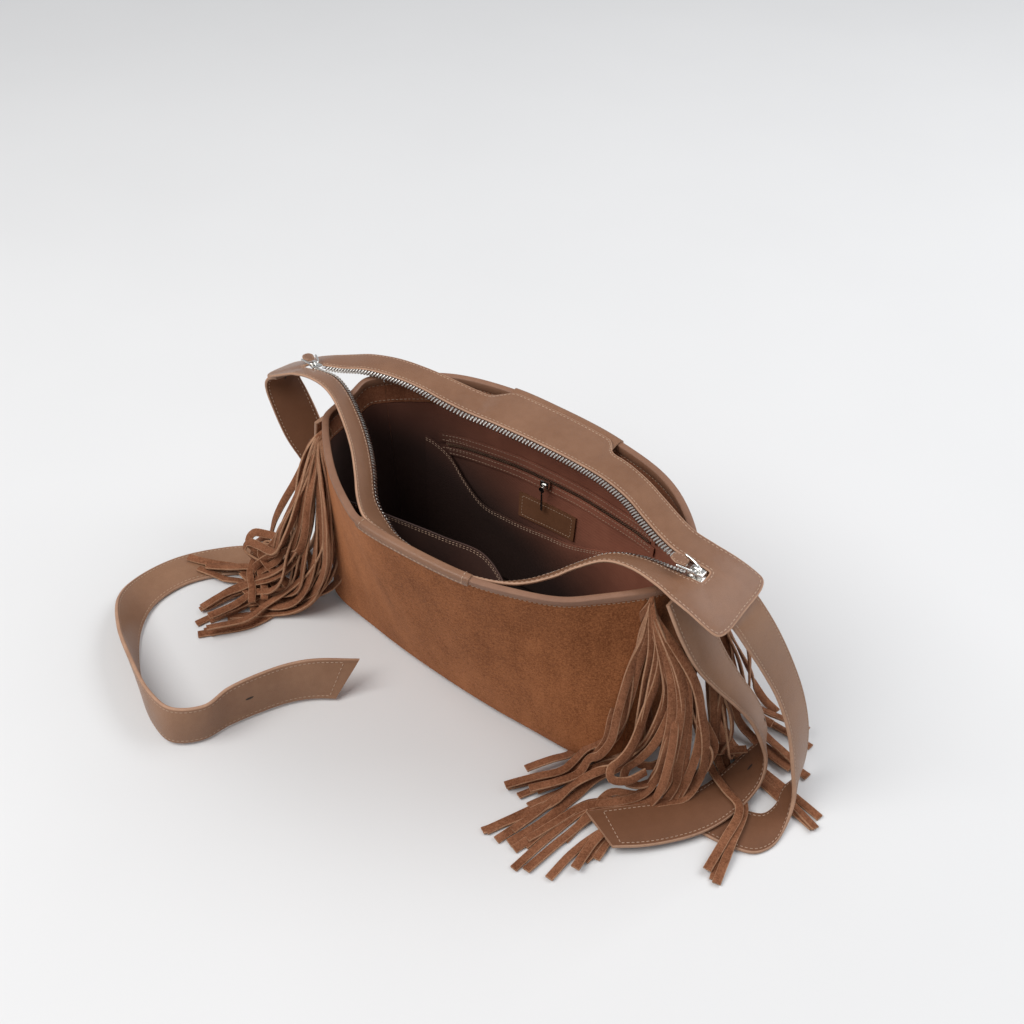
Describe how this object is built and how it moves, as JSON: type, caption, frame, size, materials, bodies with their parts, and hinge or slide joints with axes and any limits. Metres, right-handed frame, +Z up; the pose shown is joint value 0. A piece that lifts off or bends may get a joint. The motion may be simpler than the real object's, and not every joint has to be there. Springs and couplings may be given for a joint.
{
  "type": "fringed suede shoulder bag",
  "caption": "Open-topped suede shoulder bag with a leather zip band standing off the mouth, lined inside with pockets, loose leather straps and fringed corners.",
  "frame": {"origin": "centre of the base on the floor", "axes": "+X along the bag towards the end with the longer pair of visible straps, +Y from the front panel to the back panel, +Z up"},
  "size_m": [0.5779, 0.3633, 0.2014],
  "materials": {
    "suede": "napped suede, matte",
    "leather": "smooth leather, satin, taupe brown",
    "lining": "woven lining, dark brown",
    "zip_tape": "woven zip tape",
    "nickel": "polished nickel",
    "board": "pressed fibreboard, hidden in the base"
  },
  "bodies": {
    "bag": {"front_panel": "suede", "front_lining": "lining", "front_facing": "suede", "right_gusset": "suede", "right_lining": "lining", "right_facing": "suede", "back_panel": "suede", "back_lining": "lining", "back_facing": "suede", "left_gusset": "suede", "left_lining": "lining", "left_facing": "suede", "base_panel": "suede", "base_board": "board", "base_lining": "lining", "front_binding": "leather", "right_binding": "leather", "back_binding": "leather", "left_binding": "leather", "zip_band": "leather", "front_tongue": "leather", "back_tongue": "leather", "front_zip_tape": "zip_tape", "back_zip_tape": "zip_tape", "front_zip_teeth": "nickel", "back_zip_teeth": "nickel", "back_slip_pocket": "lining", "leather_patch": "leather", "pocket_zip_tape": "zip_tape", "pocket_zip_teeth": "nickel", "front_slip_pocket": "lining", "back_right_strap": "leather", "front_right_strap": "leather", "back_left_strap": "leather", "front_left_strap": "leather", "front_right_fringe": "suede", "back_right_fringe": "suede", "front_left_fringe": "suede", "back_left_fringe": "suede"},
    "right_slider_body": {"right_slider": "nickel"},
    "right_pull": {"right_pull_bail": "nickel", "right_pull_tab": "leather"},
    "left_slider_body": {"left_slider": "nickel"},
    "left_pull": {"left_pull_bail": "nickel", "left_pull_tab": "leather"},
    "pocket_slider_body": {"pocket_slider": "nickel"},
    "pocket_pull_body": {"pocket_pull": "nickel"}
  },
  "joints": [
    {"name": "right_slider_slide", "type": "slide", "parent": "bag", "child": "right_slider_body", "axis": [-1, 0, 0], "range_m": [0, 0.004]},
    {"name": "right_pull_swing", "type": "hinge", "parent": "right_slider_body", "child": "right_pull", "pos_m": [0.1725, -0.0176, 0.1976], "axis": [0, 1, 0], "range_deg": [0, 120]},
    {"name": "left_slider_slide", "type": "slide", "parent": "bag", "child": "left_slider_body", "axis": [0.8723, -0.3895, 0.2955], "range_m": [0, 0.0025]},
    {"name": "left_pull_swing", "type": "hinge", "parent": "left_slider_body", "child": "left_pull", "pos_m": [-0.20763, 0.01851, 0.18851], "axis": [0.4078, 0.9131, 0], "range_deg": [0, 120]},
    {"name": "pocket_slider_slide", "type": "slide", "parent": "bag", "child": "pocket_slider_body", "axis": [1, 0, 0], "range_m": [-0.012, 0.012]},
    {"name": "pocket_pull_swing", "type": "hinge", "parent": "pocket_slider_body", "child": "pocket_pull_body", "pos_m": [-0.0091, 0.0606, 0.125], "axis": [-1, 0, 0], "range_deg": [0, 75]}
  ]
}
